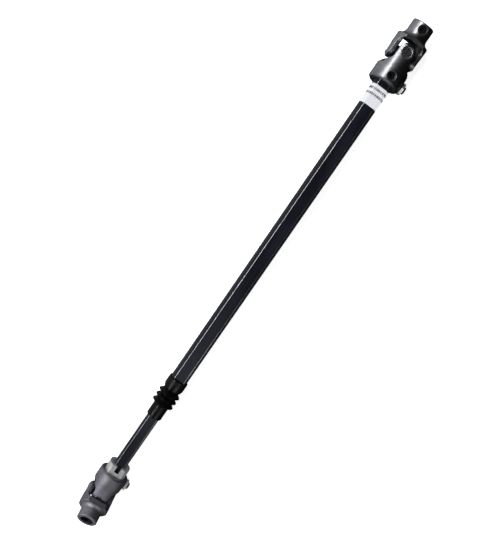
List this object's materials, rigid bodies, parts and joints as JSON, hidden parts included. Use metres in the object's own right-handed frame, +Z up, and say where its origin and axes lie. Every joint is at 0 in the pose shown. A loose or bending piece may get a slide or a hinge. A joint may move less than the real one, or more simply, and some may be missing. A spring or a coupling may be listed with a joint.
{
  "type": "universal joint shaft",
  "caption": "Telescopic steering shaft: a double-D tube over a double-D bar with a rubber bellows, and a needle-bearing universal joint with a splined clamp socket at each end.",
  "frame": {"origin": "middle of the footprint, on the surface that the shaft lies on", "axes": "+X along the shaft towards the upper joint, the joint next to the large tube; +Z up, with the shaft lying on its two large hubs and on the corners of their jam nuts, so the flats of the tube are rolled 38.1 degrees about X and face up and to -Y; the side set screws of the two large hubs point to -Y and down"},
  "size_m": [0.8146, 0.0574, 0.0616],
  "materials": {
    "black_steel": "satin black",
    "yoke_steel": "turned and milled, lightly oiled",
    "zinc_steel": "bright zinc plate",
    "black_oxide_steel": "black oxide",
    "bearing_steel": "ground",
    "boot_rubber": "semi-gloss black rubber",
    "seal_rubber": "matt",
    "label_paper": "white sticker"
  },
  "bodies": {
    "outer_shaft": {"bellows_boot": "boot_rubber", "label": "label_paper", "outer_tube": "black_steel", "upper_hub_flush_screw": "black_oxide_steel", "upper_hub_jam_nut": "zinc_steel", "upper_hub_side_screw": "black_oxide_steel", "upper_shaft_cup_a": "bearing_steel", "upper_shaft_cup_b": "bearing_steel", "upper_shaft_needles_a": "bearing_steel", "upper_shaft_needles_b": "bearing_steel", "upper_shaft_seal_a": "seal_rubber", "upper_shaft_seal_b": "seal_rubber", "upper_shaft_yoke": "yoke_steel"},
    "upper_cross": {"upper_cross": "yoke_steel"},
    "upper_end_yoke": {"upper_end_cup_a": "bearing_steel", "upper_end_cup_b": "bearing_steel", "upper_end_needles_a": "bearing_steel", "upper_end_needles_b": "bearing_steel", "upper_end_screw": "black_oxide_steel", "upper_end_seal_a": "seal_rubber", "upper_end_seal_b": "seal_rubber", "upper_end_yoke": "yoke_steel"},
    "inner_shaft": {"inner_bar": "black_steel", "lower_collar": "zinc_steel", "lower_hub_jam_nut": "zinc_steel", "lower_hub_side_screw": "black_oxide_steel", "lower_shaft_cup_a": "bearing_steel", "lower_shaft_cup_b": "bearing_steel", "lower_shaft_needles_a": "bearing_steel", "lower_shaft_needles_b": "bearing_steel", "lower_shaft_seal_a": "seal_rubber", "lower_shaft_seal_b": "seal_rubber", "lower_shaft_yoke": "yoke_steel"},
    "lower_cross": {"lower_cross": "yoke_steel"},
    "lower_end_yoke": {"lower_end_cup_a": "bearing_steel", "lower_end_cup_b": "bearing_steel", "lower_end_needles_a": "bearing_steel", "lower_end_needles_b": "bearing_steel", "lower_end_screw": "black_oxide_steel", "lower_end_seal_a": "seal_rubber", "lower_end_seal_b": "seal_rubber", "lower_end_yoke": "yoke_steel"}
  },
  "joints": [
    {"name": "telescope", "type": "slide", "parent": "outer_shaft", "child": "inner_shaft", "axis": [-1, 0, 0], "range_m": [-0.085, 0.15]},
    {"name": "upper_swing", "type": "hinge", "parent": "outer_shaft", "child": "upper_cross", "pos_m": [0.36299, 0.00623, 0.022], "axis": [0, -0.617, 0.7869], "range_deg": [-26, 24]},
    {"name": "upper_tilt", "type": "hinge", "parent": "upper_cross", "child": "upper_end_yoke", "pos_m": [0.36299, 0.00623, 0.022], "axis": [0.0175, -0.7868, -0.6169], "range_deg": [-52, 28]},
    {"name": "lower_swing", "type": "hinge", "parent": "inner_shaft", "child": "lower_cross", "pos_m": [-0.37001, 0.00623, 0.022], "axis": [0, -0.617, 0.7869], "range_deg": [-15, 15]},
    {"name": "lower_tilt", "type": "hinge", "parent": "lower_cross", "child": "lower_end_yoke", "pos_m": [-0.37001, 0.00623, 0.022], "axis": [0, 0.7869, 0.617], "range_deg": [-112, 2]}
  ]
}
